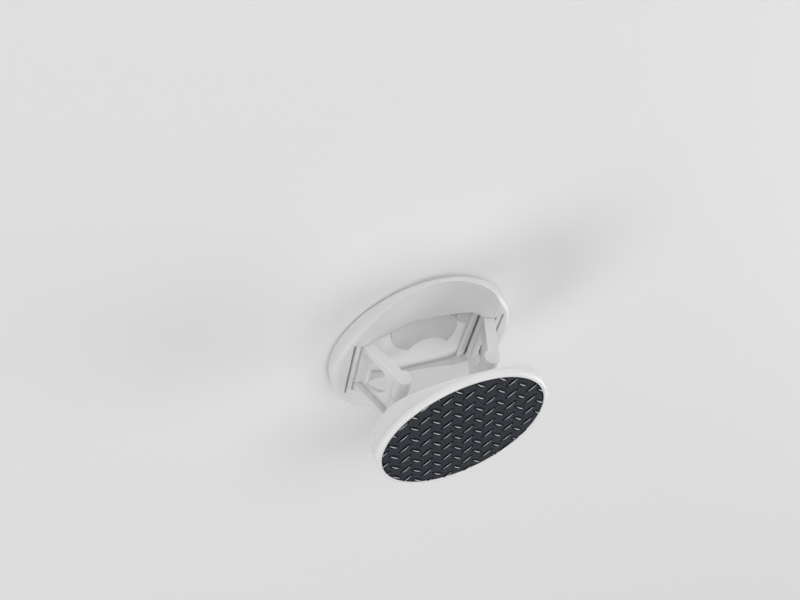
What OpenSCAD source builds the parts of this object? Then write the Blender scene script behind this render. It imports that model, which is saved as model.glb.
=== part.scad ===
// Folding grip: a round base, two pairs of hinged legs and a round tread-plate top.
// Origin: centre of the adhesive face. X runs from leg pair to leg pair, Z away from that face.

/* [Base] */
// Diameter of the base disc
base_d = 40; // [36:0.5:48]
// Height of the base at its two hinge crests, adhesive pad included
base_h = 3.6; // [3.5:0.1:5]
// Radius of the round shoulder between side wall and top
shoulder_r = 1.3; // [0.8:0.1:2]
// Thickness of the adhesive pad
pad_t = 0.5; // [0.3:0.1:0.8]
// Width of base left bare round the pad
pad_inset = 0.5; // [0.2:0.1:1.5]
// Height of the base at the bottom of its finger saddle
saddle_z = 1.4; // [1.1:0.1:2.2]
// Half width of the finger saddle, measured at the crests
saddle_half = 14.6; // [13:0.1:15]
// Half width of the opening across the finger, between the leg pairs
opening_half_y = 9.1; // [8.6:0.1:11]
// Distance from the centre to the right end of the opening's straight edges
opening_edge_right = 9.6; // [6:0.1:11]
// Distance from the centre to their left end
opening_edge_left = 4.4; // [3:0.1:8]
// Distance from the centre to the low rib across each hinge pocket
rib_x = 11; // [10.6:0.1:11.2]
// Width of that rib
rib_w = 1.4; // [0.8:0.1:1.6]
// Height of that rib above the pad
rib_h = 0.6; // [0.3:0.1:0.7]
// Gap between the end of each slot and the wall of the hinge pocket
slot_wall = 0.9; // [0.7:0.1:1.2]
// Width of the narrow slot outside each base hinge
slot_w = 0.6; // [0.4:0.05:0.8]
// Half length of that slot
slot_half_y = 8; // [6:0.1:9]
// Depth of that slot
slot_depth = 2; // [1:0.1:2.4]

/* [Legs] */
// Distance of each base hinge from the centre
hinge_x = 13.6; // [12.8:0.1:14]
// Height of the base hinges
hinge_z = 2.2; // [2:0.1:2.8]
// Length of a base leg from hinge to knee
base_leg_len = 11; // [10:0.1:11.6]
// Angle of the base legs above the base when open
base_leg_angle = 69.5; // [64:0.1:72]
// Half width of the base legs
leg_half_w = 7.2; // [6.6:0.1:7.8]
// Width of the side rails of the base legs
rail_w = 1.6; // [1.2:0.1:1.9]
// Depth of the side rails below the hinge line
rail_low = 0.8; // [0.7:0.1:1.1]
// Height of the side rails above the hinge line
rail_high = 1.5; // [1:0.1:1.6]
// Thickness of the web between the rails
web_t = 1; // [0.7:0.1:1.2]
// Half width of the arched window in the web
window_half_w = 5.5; // [5:0.1:5.6]
// Length of the arched window, measured from the hinge
window_len = 7.8; // [6.6:0.1:8]
// Distance from the hinge to the straight lower edge of that window
window_sill = 2.4; // [1.4:0.1:3]
// Radius of the base hinge barrels
base_barrel_r = 1.25; // [1.1:0.05:1.3]
// Radius of the knee joints
knee_r = 1.65; // [1.4:0.05:1.8]
// Half width of the middle knuckle of the knee, which belongs to the top leg
knuckle_half_w = 1.4; // [1.2:0.1:2.4]
// Distance of each top hinge from the centre
top_hinge_x = 9.4; // [9:0.1:9.8]
// Length of a top leg from knee to top hinge
top_leg_len = 6.7; // [6.4:0.1:7.2]
// Thickness of the top legs
top_leg_t = 1.2; // [0.9:0.1:1.4]
// Radius of the top hinge barrels
top_barrel_r = 1.1; // [1:0.05:1.2]
// Half width of the top hinge barrels
top_barrel_half_w = 2.6; // [2.5:0.1:3.1]

/* [Pins] */
// Radius of the hinge pins of base and knees
pin_r = 0.6; // [0.4:0.05:0.7]
// Radius of the top hinge pins
top_pin_r = 0.5; // [0.35:0.05:0.55]
// Depth of each end of a base pin in the base
pin_seat = 1.4; // [1:0.1:2.5]
// Thickness of the closed end of each knee bore, on the positive Y side
bore_end = 0.8; // [0.5:0.1:1.5]
// Radial play of a pin in a turning barrel
pin_play = 0.05; // [0.02:0.01:0.08]
// Extra radial play of the right top hinge, which closes the linkage
closing_play = 0.15; // [0.12:0.01:0.2]

/* [Top plate] */
// Diameter of the cap
cap_d = 36.6; // [34:0.2:42]
// Thickness of the cap at its rim
cap_t = 1.1; // [1:0.1:2.2]
// Radius of the round upper edge of the cap
cap_edge_r = 0.5; // [0.2:0.1:0.8]
// Width of the white rim round the inlay
rim_w = 0.95; // [0.8:0.05:3]
// Depth of the recess for the inlay
recess_depth = 0.6; // [0.5:0.05:0.8]
// How far the carrier stays inside the cap's edge
carrier_inset = 0.2; // [0.1:0.05:1]
// Thickness of the carrier at its two feet, left and right
carrier_t = 3.7; // [3.5:0.1:4.4]
// Thickness of the carrier in the middle of its finger saddle
carrier_mid_t = 0.5; // [0.5:0.1:1.2]
// Half width of the carrier's finger saddle, measured at the feet
carrier_saddle_half = 16; // [15:0.1:17]
// Radius of the round edge between the feet and the carrier's side
foot_edge_r = 0.6; // [0.2:0.1:0.8]
// Chamfer under the groove between carrier and cap
groove = 0.15; // [0.1:0.05:0.4]
// Height of the top hinges above the carrier's feet
hinge_rise = 0.5; // [0.3:0.1:0.8]
// Thickness of each hinge lug
lug_t = 1.4; // [1:0.1:1.8]
// Gap between the turning barrels and the lugs or walls beside them
side_gap = 0.2; // [0.1:0.05:0.3]

/* [Tread inlay] */
// Thickness of the inlay without its bars
inlay_t = 0.5; // [0.3:0.05:0.6]
// Gap between the inlay and the rim
inlay_gap = 0.05; // [0.02:0.01:0.1]
// Height of the raised bars
bar_h = 0.25; // [0.1:0.05:0.4]
// Length of a raised bar
bar_len = 3.3; // [2:0.1:3.8]
// Width of a raised bar at its middle
bar_w = 0.85; // [0.4:0.05:1.2]
// Distance between bars of the same kind along a row
row_pitch = 4.5; // [4.4:0.05:6]
// Distance between bars of the same kind along a column
column_pitch = 4.4; // [4.3:0.05:6]
// Direction of the rows
row_angle = 5; // [0:0.1:10]
// Direction of the columns
column_angle = -76.5; // [-95:0.1:-70]
// Directions of the two kinds of bar
bar_angles = [51, -38];
// Place of the bar nearest to the centre
first_bar = [0.7, 0.8];

/* [Hidden] */
$fn = 96;
white = [0.94, 0.94, 0.93];
pale_grey = [0.72, 0.73, 0.74];
steel = [0.75, 0.76, 0.78];
black = [0.12, 0.13, 0.15];
past = 1; // how far a cut runs past the face it opens

base_r = base_d / 2;
cap_r = cap_d / 2;
inlay_r = cap_r - rim_w - inlay_gap;
carrier_r = cap_r - carrier_inset;

// The pocket round each base hinge is as wide as the legs and as deep as the barrel
pocket_half_y = leg_half_w + side_gap;
pocket_end_x = hinge_x + rail_high + side_gap;
slot_x = pocket_end_x + slot_wall + slot_w / 2;
right_corner_x = hinge_x - 1;
left_corner_x = hinge_x - 4.4;

// The saddle is a cylinder along Y through the crests and the low middle
saddle_depth = base_h - saddle_z;
saddle_r = (saddle_half * saddle_half + saddle_depth * saddle_depth) / (2 * saddle_depth);

// The carrier's saddle is a cylinder along Y too, with its axis far below
carrier_saddle_depth = carrier_t - carrier_mid_t;
carrier_saddle_r = (carrier_saddle_half * carrier_saddle_half
    + carrier_saddle_depth * carrier_saddle_depth) / (2 * carrier_saddle_depth);

// The knee and top hinge follow from the leg lengths and the open angle
knee_x = hinge_x - base_leg_len * cos(base_leg_angle);
knee_z = hinge_z + base_leg_len * sin(base_leg_angle);
top_leg_angle = acos((top_hinge_x - knee_x) / top_leg_len);
top_hinge_z = knee_z + top_leg_len * sin(top_leg_angle);
lug_half_y = top_barrel_half_w + side_gap + lug_t;

// Heights of the top plate
carrier_z = top_hinge_z - hinge_rise;
cap_z = carrier_z + carrier_t;
inlay_z = cap_z + cap_t - recess_depth;

// A plate between two Y values, drawn as its outline in X and Z
module across(y_low, y_high) {
    translate([0, y_high, 0]) rotate([90, 0, 0]) linear_extrude(y_high - y_low) children();
}

// A round bar along Y, centred on the XZ plane
module y_bar(r, half_len) {
    rotate([90, 0, 0]) cylinder(r = r, h = 2 * half_len, center = true);
}

// The same shape on the positive and the negative Y side
module both_y() {
    children();
    mirror([0, 1, 0]) children();
}

// The same shape on the left and on the right
module both_x() {
    children();
    mirror([1, 0, 0]) children();
}

module at_base_hinge() { translate([-hinge_x, 0, hinge_z]) children(); }
module at_knee() { translate([-knee_x, 0, knee_z]) children(); }
module at_top_hinge() { translate([-top_hinge_x, 0, top_hinge_z]) children(); }

// Outline of the opening through the base: a middle field and two hinge pockets
module opening_outline() {
    polygon([
        [pocket_end_x, -pocket_half_y], [pocket_end_x, pocket_half_y],
        [right_corner_x, pocket_half_y], [opening_edge_right, opening_half_y],
        [-opening_edge_left, opening_half_y], [-left_corner_x, pocket_half_y],
        [-pocket_end_x, pocket_half_y], [-pocket_end_x, -pocket_half_y],
        [-left_corner_x, -pocket_half_y], [-opening_edge_left, -opening_half_y],
        [opening_edge_right, -opening_half_y], [right_corner_x, -pocket_half_y]
    ]);
}

// Scalloped tongue of the pad that shows through the opening
tongue_left = [2.5, 6.5, 9.7];   // x, y and radius of its left edge
tongue_right = [1.5, 2.2, 6.9];  // x, y and radius of its right edge
tongue_notch = [2.6, -4.5, 5.1]; // x, y and radius of the round notch in its tip
tongue_split = 1.5;              // x where the left edge meets the right edge
corner_lobe = [13, 8.5, 5.9];    // x, y and radius of the lobe in the right corner
corner_lobe_end = 11.4;          // x where that lobe ends beside the hinge pocket

module disc_at(place) { translate([place[0], place[1]]) circle(r = place[2]); }

module tongue_outline() {
    reach = base_r;
    difference() {
        union() {
            intersection() {
                disc_at(tongue_left);
                translate([tongue_split - reach, -reach]) square([reach, 2 * reach]);
            }
            intersection() {
                disc_at(tongue_right);
                translate([tongue_split, -reach]) square([reach, 2 * reach]);
            }
        }
        disc_at(tongue_notch);
    }
    intersection() {
        disc_at(corner_lobe);
        translate([0, -reach]) square([corner_lobe_end, 2 * reach]);
    }
}

module adhesive_pad() {
    color(pale_grey) linear_extrude(pad_t) {
        difference() {
            circle(r = base_r - pad_inset);
            intersection() {
                opening_outline();
                square([2 * rib_x, base_d], center = true);
            }
        }
        intersection() {
            tongue_outline();
            opening_outline();
        }
    }
}

module base_profile() {
    translate([0, pad_t]) square([base_r, base_h - shoulder_r - pad_t]);
    translate([0, base_h - shoulder_r]) square([base_r - shoulder_r, shoulder_r]);
    translate([base_r - shoulder_r, base_h - shoulder_r]) intersection() {
        circle(r = shoulder_r);
        square(shoulder_r);
    }
}

module hinge_slot() {
    half_straight = slot_half_y - slot_w / 2;
    translate([slot_x, 0, base_h - slot_depth]) {
        linear_extrude(slot_depth + past) square([slot_w, 2 * half_straight], center = true);
        both_y() translate([0, half_straight, 0]) cylinder(d = slot_w, h = slot_depth + past);
    }
}

module pocket_rib() {
    translate([rib_x, -opening_half_y, pad_t]) cube([rib_w, 2 * opening_half_y, rib_h]);
}

module base_body() {
    color(white) {
        difference() {
            rotate_extrude() base_profile();
            translate([0, 0, saddle_z + saddle_r]) y_bar(saddle_r, base_r + past);
            translate([0, 0, -past]) linear_extrude(base_h + 2 * past) opening_outline();
            both_x() hinge_slot();
            both_x() at_base_hinge() y_bar(pin_r, pocket_half_y + pin_seat);
        }
        both_x() pocket_rib();
    }
}

// Pins, each drawn for the left side
module base_pin() { color(steel) at_base_hinge() y_bar(pin_r, pocket_half_y + pin_seat); }
module knee_pin() { color(steel) at_knee() knee_bore(leg_half_w); }
module top_pin() { color(steel) at_top_hinge() y_bar(top_pin_r, lug_half_y); }

// Round bar in the knee from one end, at -Y, to the closed end of the bore, at +Y
module knee_bore(open_end) {
    closed_end = leg_half_w - bore_end;
    translate([0, closed_end, 0]) rotate([90, 0, 0]) cylinder(r = pin_r, h = closed_end + open_end);
}

// Side outline of a rail, with the hinge at the origin and the knee at its far end
module rail_outline() {
    circle(r = base_barrel_r);
    translate([base_leg_len, 0]) circle(r = knee_r);
    translate([0, -rail_low]) square([base_leg_len, rail_low + rail_high]);
}

// Half ellipse along X, made from a circle drawn in equal steps, above a straight sill
module window_outline() {
    steps = 24;
    sill_turn = acos(window_sill / window_len);
    polygon([for (i = [0:steps]) let (turn = sill_turn * (2 * i / steps - 1))
        [window_len * cos(turn), window_half_w * sin(turn)]]);
}

// A left base leg lying flat, with its hinge at the origin and the knee along +X
module flat_base_leg() {
    knee_gap = knee_r + side_gap;
    inner_y = leg_half_w - rail_w;
    knuckle_start = knuckle_half_w + side_gap;
    difference() {
        union() {
            y_bar(base_barrel_r, leg_half_w - side_gap / 2);
            both_y() across(inner_y, leg_half_w) rail_outline();
            both_y() across(knuckle_start, leg_half_w) translate([base_leg_len, 0]) circle(r = knee_r);
            translate([0, -leg_half_w + rail_w / 2, -rail_low])
                cube([base_leg_len, 2 * leg_half_w - rail_w, web_t]);
        }
        translate([base_leg_len - knee_gap, -knuckle_start, -knee_gap])
            cube([2 * knee_gap, 2 * knuckle_start, 2 * knee_gap]);
        translate([0, 0, -rail_low - past]) linear_extrude(web_t + 2 * past) window_outline();
        y_bar(pin_r + pin_play, leg_half_w + past);
        translate([base_leg_len, 0, 0]) knee_bore(leg_half_w + past);
    }
}

module base_leg() {
    color(white) at_base_hinge() rotate([0, -base_leg_angle, 0]) flat_base_leg();
}

// A left top leg lying flat, with its knee at the origin and the top hinge along -X.
// Its plate is on the side that faces away from the base leg when folded.
module flat_top_leg(play) {
    wide_x = -top_leg_len + top_barrel_r + side_gap;
    difference() {
        union() {
            y_bar(knee_r, knuckle_half_w);
            translate([-top_leg_len, 0, 0]) y_bar(top_barrel_r, top_barrel_half_w);
            linear_extrude(top_leg_t) polygon([
                [0, -knuckle_half_w], [0, knuckle_half_w],
                [-knee_r - side_gap, knuckle_half_w], [wide_x, top_barrel_half_w],
                [-top_leg_len, top_barrel_half_w], [-top_leg_len, -top_barrel_half_w],
                [wide_x, -top_barrel_half_w], [-knee_r - side_gap, -knuckle_half_w]
            ]);
        }
        y_bar(pin_r + pin_play, knuckle_half_w + past);
        translate([-top_leg_len, 0, 0]) y_bar(top_pin_r + play, top_barrel_half_w + past);
    }
}

module top_leg(play) {
    color(white) at_knee() rotate([0, top_leg_angle, 0]) flat_top_leg(play);
}

// A hinge lug below the carrier, drawn for the left side and positive Y
module lug() {
    at_top_hinge() across(top_barrel_half_w + side_gap, lug_half_y) {
        circle(r = top_barrel_r);
        translate([-top_barrel_r, 0]) square([2 * top_barrel_r, carrier_t - hinge_rise - groove]);
    }
}

module carrier_profile() {
    foot_flat = carrier_r - foot_edge_r;
    square([foot_flat, foot_edge_r]);
    translate([foot_flat, foot_edge_r]) circle(r = foot_edge_r);
    translate([0, foot_edge_r]) square([carrier_r, carrier_t - groove - foot_edge_r]);
    translate([0, carrier_t - groove]) polygon([
        [0, 0], [carrier_r, 0], [carrier_r - groove, groove], [0, groove]
    ]);
}

module top_carrier() {
    color(white) difference() {
        union() {
            translate([0, 0, carrier_z]) difference() {
                rotate_extrude() carrier_profile();
                translate([0, 0, carrier_saddle_depth - carrier_saddle_r])
                    y_bar(carrier_saddle_r, carrier_r + past);
            }
            both_x() both_y() lug();
        }
        both_x() at_top_hinge() y_bar(top_pin_r, lug_half_y + past);
    }
}

module cap_profile() {
    flat = cap_r - cap_edge_r;
    square([cap_r, cap_t - cap_edge_r]);
    square([flat, cap_t]);
    translate([flat, cap_t - cap_edge_r]) circle(r = cap_edge_r);
}

module top_cap() {
    color(white) translate([0, 0, cap_z]) difference() {
        rotate_extrude() cap_profile();
        translate([0, 0, cap_t - recess_depth]) cylinder(r = cap_r - rim_w, h = recess_depth + past);
    }
}

// A raised bar: two large spheres cross in its ridge and leave a pointed outline
module tread_bar() {
    arc_r = (bar_len * bar_len + bar_w * bar_w) / (4 * bar_w);
    side = arc_r - bar_w / 2;
    depth = (arc_r * arc_r - side * side - bar_h * bar_h) / (2 * bar_h);
    flank_r = sqrt(arc_r * arc_r + depth * depth);
    translate([0, 0, inlay_t]) intersection() {
        translate([0, side, -depth]) sphere(r = flank_r);
        translate([0, -side, -depth]) sphere(r = flank_r);
        translate([-bar_len / 2, -bar_w / 2, -inlay_t / 2])
            cube([bar_len, bar_w, inlay_t / 2 + bar_h + past]);
    }
}

function along(pitch, angle) = pitch * [cos(angle), sin(angle)];

// The two kinds of bar sit on one slanted grid, half a step apart both ways
module tread_bars() {
    reach = ceil(inlay_r / column_pitch) + 2;
    row_step = along(row_pitch, row_angle);
    column_step = along(column_pitch, column_angle);
    for (kind = [0, 1], i = [-reach:reach], j = [-reach:reach]) {
        place = first_bar + (i + kind / 2) * row_step + (j + kind / 2) * column_step;
        if (norm(place) < inlay_r + bar_len / 4)
            translate([place[0], place[1], 0]) rotate([0, 0, bar_angles[kind]]) tread_bar();
    }
}

module tread_inlay() {
    color(black) translate([0, 0, inlay_z]) {
        cylinder(r = inlay_r, h = inlay_t);
        intersection() {
            cylinder(r = inlay_r, h = inlay_t + bar_h);
            tread_bars();
        }
    }
}

adhesive_pad();
base_body();
base_pin();  // left_base_pin
mirror([1, 0, 0]) base_pin();  // right_base_pin
base_leg();  // left_base_leg
mirror([1, 0, 0]) base_leg();  // right_base_leg
knee_pin();  // left_knee_pin
mirror([1, 0, 0]) knee_pin();  // right_knee_pin
top_leg(pin_play);  // left_top_leg
mirror([1, 0, 0]) top_leg(pin_play + closing_play);  // right_top_leg
top_pin();  // left_top_pin
mirror([1, 0, 0]) top_pin();  // right_top_pin
top_carrier();
top_cap();
tread_inlay();
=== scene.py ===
"""Looks for the folding grip: camera, floor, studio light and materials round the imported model."""

import math

import bpy
from mathutils import Matrix, Vector


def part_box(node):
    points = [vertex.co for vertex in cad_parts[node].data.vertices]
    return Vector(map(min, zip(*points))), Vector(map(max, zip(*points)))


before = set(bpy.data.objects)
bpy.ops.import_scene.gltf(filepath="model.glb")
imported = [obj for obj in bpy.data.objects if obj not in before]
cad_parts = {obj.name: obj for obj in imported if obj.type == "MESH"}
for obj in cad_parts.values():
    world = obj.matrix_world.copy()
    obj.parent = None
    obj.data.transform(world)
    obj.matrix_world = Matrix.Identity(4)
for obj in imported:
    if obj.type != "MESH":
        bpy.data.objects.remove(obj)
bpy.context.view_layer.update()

# Everything is in metres, in the frame of the model
MM = 0.001

# Camera: where it stands, what it looks at and which way is up in the picture
CAMERA_PLACE = Vector((-74.96, 148.84, 100.04)) * MM
CAMERA_TARGET = Vector((-6.97, 15.06, 0.0)) * MM
CAMERA_UP = Vector((0.1826, 0.6466, -0.7406))

# Its lens, and the nearest and farthest that it sees
SENSOR_WIDTH = 36.0
FOCAL_PIXELS = 926.0
IMAGE_WIDTH = 800.0
CAMERA_NEAR = 0.01
CAMERA_FAR = 20.0

# Floor
FLOOR_SIZE = 6.0
FLOOR_COLOR = (0.88, 0.88, 0.88)
FLOOR_ROUGHNESS = 0.60

# Softboxes: name, bearing and height in degrees as seen from the model, width in metres, power in watts
SOFTBOXES = (
    ("front_softbox", 90.0, 40.0, 2.85, 23.0),
    ("left_softbox", 210.0, 40.0, 1.05, 12.0),
    ("top_softbox", 300.0, 65.0, 1.05, 8.0),
    ("right_softbox", 340.0, 18.0, 1.05, 12.0),
)
SOFTBOX_DISTANCE = 2.1
SOFTBOX_HEIGHT = 1.05
SOFTBOX_TARGET = Vector((0.0, 0.0, 0.010))

# Light from all round: its strength at the horizon and above
HORIZON_STRENGTH = 0.52
SKY_STRENGTH = 0.12

# Between these heights, as sines, the one changes to the other
HORIZON_TOP = 0.30
SKY_BOTTOM = 0.50

# Colours of the moulded pieces
WHITE_PLASTIC = (0.80, 0.80, 0.80)
CAP_WHITE = (0.88, 0.88, 0.88)
PAD_GREY = (0.64, 0.64, 0.645)

# How far light spreads inside the white plastic, and the radius of the soft edges of plastic and pad
PLASTIC_SCATTER = 0.25 * MM
PLASTIC_EDGE = 0.18 * MM
PAD_EDGE = 0.10 * MM

# Mottling: features per metre and levels of detail, and how much it changes colour and roughness
MOTTLE_NOISE = (180.0, 4.0)
MOTTLE_SHADES = (0.97, 1.03)
MOTTLE_ROUGHNESS = 0.05

# Grain: features per metre and levels of detail, and its depth
GRAIN_NOISE = (4000.0, 2.0)
GRAIN_DEPTH = 0.02 * MM

# Tread: colours of the flat, of the painted shade on the flanks and feet of its bars, and of the painted
# highlight along their crests
TREAD_BLACK = (0.031, 0.036, 0.047)
TREAD_PAINTED_SHADE = (0.001, 0.001, 0.001)
TREAD_PAINTED_HIGHLIGHT = (0.66, 0.68, 0.71)

# Tread: gloss, roughness of the flat and of the crests, and radius of its soft edges
TREAD_SPECULAR = 0.12
TREAD_ROUGHNESS = 0.60
CREST_ROUGHNESS = 0.32
TREAD_EDGE = 0.05 * MM

# Height of the bars above the flat, and the share of it over which shade is painted on the flanks
BAR_HEIGHT = 0.25 * MM
FLANK_SHARE = 0.10

# Painted shade round the foot of each bar: its reach, and the turn of the surface at which it starts and is
# full
FOOT_REACH = 0.50 * MM
FOOT_TURN = (0.0, 0.08)

# Painted highlight along each crest: its reach from the ridge, the turn of the surface at which it starts and
# is full, and the heights above the flat at which it starts and is full
CREST_REACH = 0.30 * MM
CREST_TURN = (0.10, 0.28)
CREST_HEIGHTS = (0.10 * MM, 0.15 * MM)

# Painted highlight on the peak of each bar: the depths below its top at which it starts and is full
PEAK_DEPTHS = (0.085 * MM, 0.0425 * MM)

# Speckle of the flat: features per metre and levels of detail, its sharpness, and its shades of the black
SPECKLE_NOISE = (3500.0, 3.0)
SPECKLE_LIMITS = (0.40, 0.60)
SPECKLE_SHADES = (0.5, 1.5)

# Grain of the tread: features per metre and levels of detail, and its strength
TREAD_GRAIN_NOISE = (5000.0, 2.0)
TREAD_GRAIN = 0.35

# Pins: colour, range of roughness and radius of the soft edges
PIN_STEEL = (0.60, 0.61, 0.63)
STEEL_ROUGHNESS = (0.22, 0.42)
STEEL_EDGE = 0.08 * MM

# Scratches of the pins: how many per metre along X, Y and Z, levels of detail, strength and depth
SCRATCHES_PER_METRE = (300.0, 9000.0, 300.0)
SCRATCH_DETAIL = 3.0
SCRATCH_STRENGTH = 0.25
SCRATCH_DEPTH = 0.01 * MM

# Samples for soft edges, for those of the tread, and for the masks that find ridges and feet
EDGE_SAMPLES = 6
TREAD_EDGE_SAMPLES = 8
MASK_SAMPLES = 12

SIDES = ("left", "right")
LEGS = [f"{side}_{place}_leg" for place in ("base", "top") for side in SIDES]
PINS = [f"{side}_{place}_pin" for place in ("base", "knee", "top") for side in SIDES]


def make_camera():
    """The camera stands as it does in the photograph."""
    data = bpy.data.cameras.new("camera")
    data.sensor_width = SENSOR_WIDTH
    data.lens = SENSOR_WIDTH * FOCAL_PIXELS / IMAGE_WIDTH
    data.clip_start = CAMERA_NEAR
    data.clip_end = CAMERA_FAR
    camera = bpy.data.objects.new("camera", data)
    bpy.context.scene.collection.objects.link(camera)
    back = (CAMERA_PLACE - CAMERA_TARGET).normalized()
    right = CAMERA_UP.cross(back).normalized()
    up = back.cross(right)
    turn = Matrix((right, up, back)).transposed().to_4x4()
    camera.matrix_world = Matrix.Translation(CAMERA_PLACE) @ turn
    bpy.context.scene.camera = camera


def make_softbox(name, bearing, height, width, power):
    """An area light that faces the model."""
    data = bpy.data.lights.new(name, "AREA")
    data.shape = "RECTANGLE"
    data.size = width
    data.size_y = SOFTBOX_HEIGHT
    data.energy = power
    light = bpy.data.objects.new(name, data)
    light.visible_camera = False
    bpy.context.scene.collection.objects.link(light)
    turn, rise = math.radians(bearing), math.radians(height)
    away = Vector((math.cos(turn) * math.cos(rise), math.sin(turn) * math.cos(rise), math.sin(rise)))
    light.location = away * SOFTBOX_DISTANCE
    aim = SOFTBOX_TARGET - light.location
    light.rotation_euler = aim.to_track_quat("-Z", "Y").to_euler()


def make_world():
    """Pale light from all round, brighter near the horizon as from the walls of a studio."""
    world = bpy.data.worlds.new("studio")
    world.use_nodes = True
    tree = world.node_tree
    background = tree.nodes["Background"]
    background.inputs["Color"].default_value = (1.0, 1.0, 1.0, 1.0)
    coords = tree.nodes.new("ShaderNodeTexCoord")
    way = tree.nodes.new("ShaderNodeSeparateXYZ")
    fade = tree.nodes.new("ShaderNodeMapRange")
    fade.interpolation_type = "SMOOTHSTEP"
    fade.inputs["From Min"].default_value = HORIZON_TOP
    fade.inputs["From Max"].default_value = SKY_BOTTOM
    fade.inputs["To Min"].default_value = HORIZON_STRENGTH
    fade.inputs["To Max"].default_value = SKY_STRENGTH
    tree.links.new(coords.outputs["Generated"], way.inputs["Vector"])
    tree.links.new(way.outputs["Z"], fade.inputs["Value"])
    tree.links.new(fade.outputs["Result"], background.inputs["Strength"])
    bpy.context.scene.world = world
    bpy.context.scene.view_settings.view_transform = "Standard"


class Nodes:
    """Short names for building a material's node tree."""

    def __init__(self, name):
        self.material = bpy.data.materials.new(name)
        self.material.use_nodes = True
        self.tree = self.material.node_tree
        self.shader = self.tree.nodes["Principled BSDF"]

    def add(self, kind, **settings):
        """A new node. Settings are attributes, or sockets where the name starts with in_."""
        node = self.tree.nodes.new(kind)
        for key, value in settings.items():
            if key.startswith("in_"):
                node.inputs[key.removeprefix("in_").replace("_", " ")].default_value = value
            else:
                setattr(node, key, value)
        return node

    def link(self, source, output, target, socket):
        """Joins an output to a socket. Both go by name, or by number where names repeat."""
        self.tree.links.new(source.outputs[output], target.inputs[socket])

    def set(self, **values):
        """Numbers and colours that are the same all over the surface."""
        for key, value in values.items():
            self.shader.inputs[key.replace("_", " ")].default_value = value


def make_floor():
    """A plain pale floor under the base."""
    bpy.ops.mesh.primitive_plane_add(size=FLOOR_SIZE)
    floor = bpy.context.object
    floor.name = "floor"
    nodes = Nodes("pale_floor")
    nodes.set(Base_Color=(*FLOOR_COLOR, 1.0), Roughness=FLOOR_ROUGHNESS)
    floor.data.materials.append(nodes.material)


def add_noise(nodes, coords, scale, detail):
    """Noise that sits still on the model."""
    noise = nodes.add("ShaderNodeTexNoise", in_Scale=scale, in_Detail=detail)
    nodes.link(coords, "Object", noise, "Vector")
    return noise


def add_range(nodes, source, output, low, high):
    """Maps a value from 0..1 to low..high."""
    mapped = nodes.add("ShaderNodeMapRange", in_To_Min=low, in_To_Max=high)
    nodes.link(source, output, mapped, "Value")
    return mapped


def add_mask(nodes, source, output, low, high):
    """Goes smoothly from 0 to 1 between two values."""
    mask = nodes.add("ShaderNodeMapRange", interpolation_type="SMOOTHSTEP", in_From_Min=low, in_From_Max=high)
    nodes.link(source, output, mask, "Value")
    return mask


def join_masks(nodes, operation, mask_a, mask_b):
    """Joins two masks: MINIMUM keeps where both are, MAXIMUM where either is."""
    joined = nodes.add("ShaderNodeMath", operation=operation)
    nodes.link(mask_a, 0, joined, 0)
    nodes.link(mask_b, 0, joined, 1)
    return joined


def add_shades(nodes, source, output, color, darkest, lightest):
    """Two shades of a colour, mixed by a value from 0..1."""
    mix = nodes.add("ShaderNodeMix", data_type="RGBA")
    mix.inputs["A"].default_value = (*(darkest * part for part in color), 1.0)
    mix.inputs["B"].default_value = (*(lightest * part for part in color), 1.0)
    nodes.link(source, output, mix, "Factor")
    return mix


def cover(nodes, below, mask, color):
    """Lays a colour over another where a joined mask is 1."""
    mix = nodes.add("ShaderNodeMix", data_type="RGBA")
    mix.inputs["B"].default_value = (*color, 1.0)
    nodes.link(below, "Result", mix, "A")
    nodes.link(mask, "Value", mix, "Factor")
    return mix


def edge_amount(nodes, reach):
    """How much the surface turns within reach of a point, as the distance between two normals."""
    around = nodes.add("ShaderNodeBevel", samples=MASK_SAMPLES, in_Radius=reach)
    here = nodes.add("ShaderNodeNewGeometry")
    turn = nodes.add("ShaderNodeVectorMath", operation="DISTANCE")
    nodes.link(around, "Normal", turn, 0)
    nodes.link(here, "Normal", turn, 1)
    return turn


def add_relief(nodes, noise, strength, depth, edge_radius, samples):
    """Soft edges, and a fine relief from a noise."""
    edge = nodes.add("ShaderNodeBevel", samples=samples, in_Radius=edge_radius)
    bump = nodes.add("ShaderNodeBump", in_Strength=strength, in_Distance=depth)
    nodes.link(noise, "Fac", bump, "Height")
    nodes.link(edge, "Normal", bump, "Normal")
    nodes.link(bump, "Normal", nodes.shader, "Normal")


def moulded_plastic(name, color, roughness, edge_radius, grain, scatter):
    """Satin moulded plastic: soft edges, faint mottling and a very fine grain."""
    nodes = Nodes(name)
    nodes.set(Subsurface_Weight=1.0 if scatter else 0.0, Subsurface_Scale=scatter,
              Subsurface_Radius=(1.0, 1.0, 1.0))
    coords = nodes.add("ShaderNodeTexCoord")
    mottle = add_noise(nodes, coords, *MOTTLE_NOISE)
    shade = add_shades(nodes, mottle, "Fac", color, *MOTTLE_SHADES)
    nodes.link(shade, "Result", nodes.shader, "Base Color")
    rough = add_range(nodes, mottle, "Fac", roughness - MOTTLE_ROUGHNESS, roughness + MOTTLE_ROUGHNESS)
    nodes.link(rough, "Result", nodes.shader, "Roughness")
    fine = add_noise(nodes, coords, *GRAIN_NOISE)
    add_relief(nodes, fine, grain, GRAIN_DEPTH, edge_radius, EDGE_SAMPLES)
    return nodes.material


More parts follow.
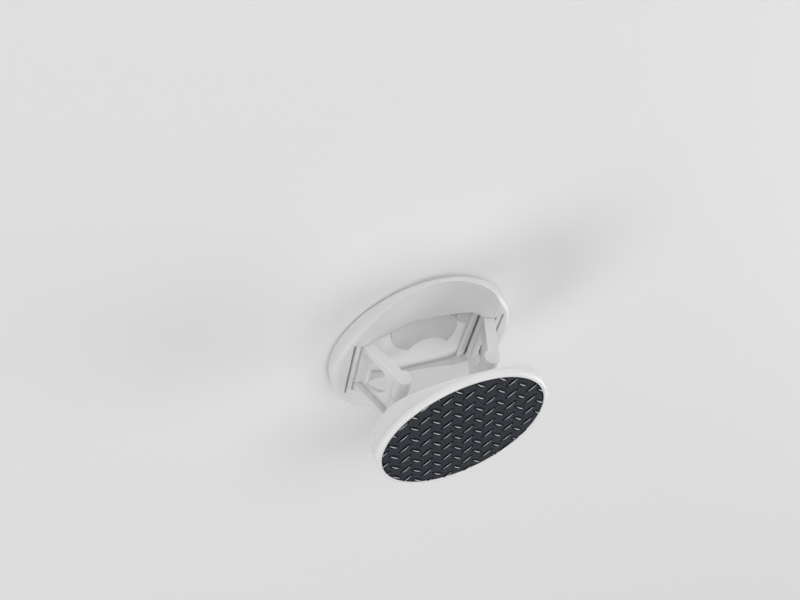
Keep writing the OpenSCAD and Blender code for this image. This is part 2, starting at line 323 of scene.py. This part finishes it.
def painted_light_tread(name, crest_height):
    """Black moulded tread: speckled flat, painted shade on the foot and flanks of each bar, and a painted
    highlight along each crest.
    """
    nodes = Nodes(name)
    nodes.set(Specular_IOR_Level=TREAD_SPECULAR)
    coords = nodes.add("ShaderNodeTexCoord")
    place = nodes.add("ShaderNodeSeparateXYZ")
    nodes.link(coords, "Object", place, "Vector")

    # Where shade is painted on the flanks and feet of the bars
    flat_height = crest_height - BAR_HEIGHT
    flank = add_mask(nodes, place, "Z", flat_height, flat_height + FLANK_SHARE * BAR_HEIGHT)
    foot = add_mask(nodes, edge_amount(nodes, FOOT_REACH), "Value", *FOOT_TURN)
    dark = join_masks(nodes, "MAXIMUM", flank, foot)

    # Where a highlight is painted along the crests and on the peaks
    upper = add_mask(nodes, place, "Z", *(flat_height + height for height in CREST_HEIGHTS))
    ridge = add_mask(nodes, edge_amount(nodes, CREST_REACH), "Value", *CREST_TURN)
    peak = add_mask(nodes, place, "Z", *(crest_height - depth for depth in PEAK_DEPTHS))
    crest = join_masks(nodes, "MAXIMUM", join_masks(nodes, "MINIMUM", upper, ridge), peak)

    noise = add_noise(nodes, coords, *SPECKLE_NOISE)
    speckle = add_mask(nodes, noise, "Fac", *SPECKLE_LIMITS)
    flat = add_shades(nodes, speckle, "Result", TREAD_BLACK, *SPECKLE_SHADES)
    # The flat, with painted shade laid on the flanks and feet and a painted highlight on the crests
    painted_light = cover(nodes, cover(nodes, flat, dark, TREAD_PAINTED_SHADE), crest, TREAD_PAINTED_HIGHLIGHT)
    nodes.link(painted_light, "Result", nodes.shader, "Base Color")
    rough = add_range(nodes, crest, "Value", TREAD_ROUGHNESS, CREST_ROUGHNESS)
    nodes.link(rough, "Result", nodes.shader, "Roughness")
    fine = add_noise(nodes, coords, *TREAD_GRAIN_NOISE)
    add_relief(nodes, fine, TREAD_GRAIN, GRAIN_DEPTH, TREAD_EDGE, TREAD_EDGE_SAMPLES)
    return nodes.material


def turned_steel(name, color):
    """Steel pin: fine scratches round its axis, which runs along Y."""
    nodes = Nodes(name)
    nodes.set(Base_Color=(*color, 1.0), Metallic=1.0)
    coords = nodes.add("ShaderNodeTexCoord")
    stretch = nodes.add("ShaderNodeMapping", vector_type="POINT", in_Scale=SCRATCHES_PER_METRE)
    nodes.link(coords, "Object", stretch, "Vector")
    scratches = nodes.add("ShaderNodeTexNoise", in_Scale=1.0, in_Detail=SCRATCH_DETAIL)
    nodes.link(stretch, "Vector", scratches, "Vector")
    rough = add_range(nodes, scratches, "Fac", *STEEL_ROUGHNESS)
    nodes.link(rough, "Result", nodes.shader, "Roughness")
    add_relief(nodes, scratches, SCRATCH_STRENGTH, SCRATCH_DEPTH, STEEL_EDGE, EDGE_SAMPLES)
    return nodes.material


def assign(material, *node_names):
    """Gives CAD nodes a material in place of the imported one."""
    for name in node_names:
        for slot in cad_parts[name].material_slots:
            slot.material = material


make_camera()
make_world()
for softbox in SOFTBOXES:
    make_softbox(*softbox)
make_floor()

white = moulded_plastic("white_plastic", WHITE_PLASTIC, roughness=0.36, edge_radius=PLASTIC_EDGE,
                        grain=0.15, scatter=PLASTIC_SCATTER)
foam = moulded_plastic("pad_foam", PAD_GREY, roughness=0.70, edge_radius=PAD_EDGE, grain=0.60, scatter=0.0)
tread = painted_light_tread("black_tread", crest_height=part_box("tread_inlay")[1][2])
steel = turned_steel("pin_steel", PIN_STEEL)
cap_white = moulded_plastic("cap_white", CAP_WHITE, roughness=0.30, edge_radius=PLASTIC_EDGE,
                            grain=0.10, scatter=PLASTIC_SCATTER)
assign(white, "base_body", *LEGS, "top_carrier")
assign(cap_white, "top_cap")
assign(foam, "adhesive_pad")
assign(tread, "tread_inlay")
assign(steel, *PINS)

bpy.context.view_layer.update()
